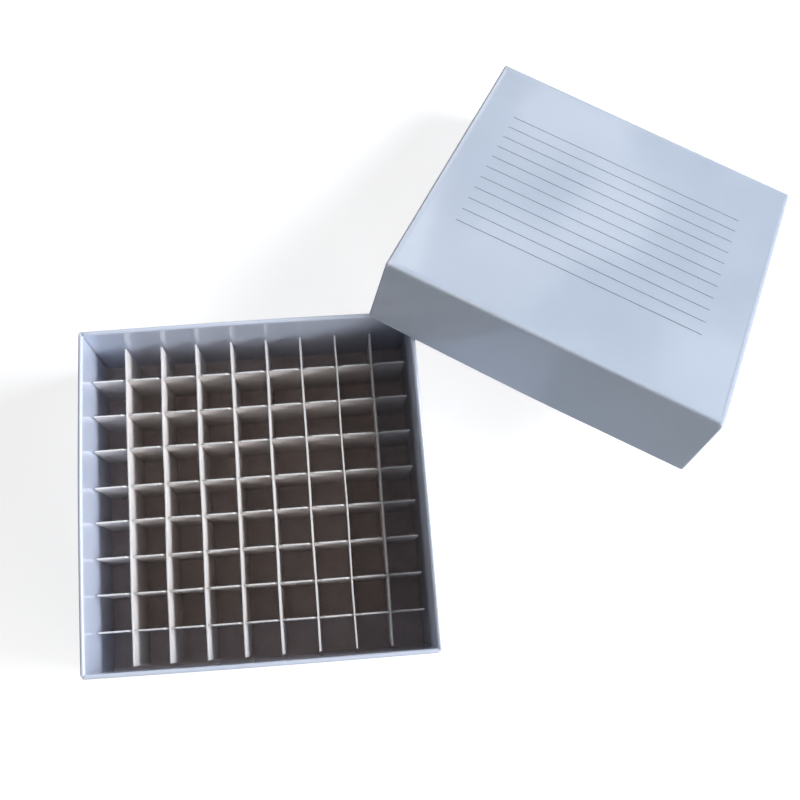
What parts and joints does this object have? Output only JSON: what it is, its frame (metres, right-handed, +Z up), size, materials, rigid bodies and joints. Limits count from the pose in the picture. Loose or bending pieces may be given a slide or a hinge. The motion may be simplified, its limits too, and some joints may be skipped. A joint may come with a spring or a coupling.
{
  "type": "cryogenic storage box",
  "caption": "Square paper-wrapped board box for freezer storage of vials: open tray with an interlocked card divider that lifts out, and a telescoping lid leaning on its corner.",
  "frame": {"origin": "centre of the base tray's underside, on the table", "axes": "+X to the right, towards the side where the lid leans; +Y to the back; +Z up, out of the tray's mouth"},
  "size_m": [0.2965, 0.2439, 0.0793],
  "materials": {
    "coated_wrap": "glossy film-coated paper",
    "grey_board": "matte uncoated grey paperboard",
    "stay_tape": "matte brown paper tape",
    "white_card": "satin white card with bright cut edges"
  },
  "bodies": {
    "base": {"base_wrap": "coated_wrap", "base_board_floor": "grey_board", "base_board_back": "grey_board", "base_board_left": "grey_board", "base_board_front": "grey_board", "base_board_right": "grey_board", "base_stay_1": "stay_tape", "base_stay_2": "stay_tape", "base_stay_3": "stay_tape", "base_stay_4": "stay_tape"},
    "divider_rows": {"row_strip_1": "white_card", "row_strip_2": "white_card", "row_strip_3": "white_card", "row_strip_4": "white_card", "row_strip_5": "white_card", "row_strip_6": "white_card", "row_strip_7": "white_card", "row_strip_8": "white_card"},
    "column_1": {"column_strip_1": "white_card"},
    "column_2": {"column_strip_2": "white_card"},
    "column_3": {"column_strip_3": "white_card"},
    "column_4": {"column_strip_4": "white_card"},
    "column_5": {"column_strip_5": "white_card"},
    "column_6": {"column_strip_6": "white_card"},
    "column_7": {"column_strip_7": "white_card"},
    "column_8": {"column_strip_8": "white_card"},
    "lid": {"lid_wrap": "coated_wrap", "lid_board_top": "grey_board", "lid_board_near": "grey_board", "lid_board_left": "grey_board", "lid_board_far": "grey_board", "lid_board_right": "grey_board", "lid_stay_1": "stay_tape", "lid_stay_2": "stay_tape", "lid_stay_3": "stay_tape", "lid_stay_4": "stay_tape"}
  },
  "joints": [
    {"name": "divider_lift", "type": "slide", "parent": "base", "child": "divider_rows", "axis": [0, 0, 1], "range_m": [0, 0.06]},
    {"name": "column_1_lift", "type": "slide", "parent": "divider_rows", "child": "column_1", "axis": [0, 0, 1], "range_m": [0, 0.034]},
    {"name": "column_2_lift", "type": "slide", "parent": "divider_rows", "child": "column_2", "axis": [0, 0, 1], "range_m": [0, 0.034]},
    {"name": "column_3_lift", "type": "slide", "parent": "divider_rows", "child": "column_3", "axis": [0, 0, 1], "range_m": [0, 0.034]},
    {"name": "column_4_lift", "type": "slide", "parent": "divider_rows", "child": "column_4", "axis": [0, 0, 1], "range_m": [0, 0.034]},
    {"name": "column_5_lift", "type": "slide", "parent": "divider_rows", "child": "column_5", "axis": [0, 0, 1], "range_m": [0, 0.034]},
    {"name": "column_6_lift", "type": "slide", "parent": "divider_rows", "child": "column_6", "axis": [0, 0, 1], "range_m": [0, 0.034]},
    {"name": "column_7_lift", "type": "slide", "parent": "divider_rows", "child": "column_7", "axis": [0, 0, 1], "range_m": [0, 0.034]},
    {"name": "column_8_lift", "type": "slide", "parent": "divider_rows", "child": "column_8", "axis": [0, 0, 1], "range_m": [0, 0.034]},
    {"name": "lid_lift", "type": "slide", "parent": "base", "child": "lid", "axis": [0.1915, 0.3252, 0.9261], "range_m": [0, 0.08]}
  ]
}
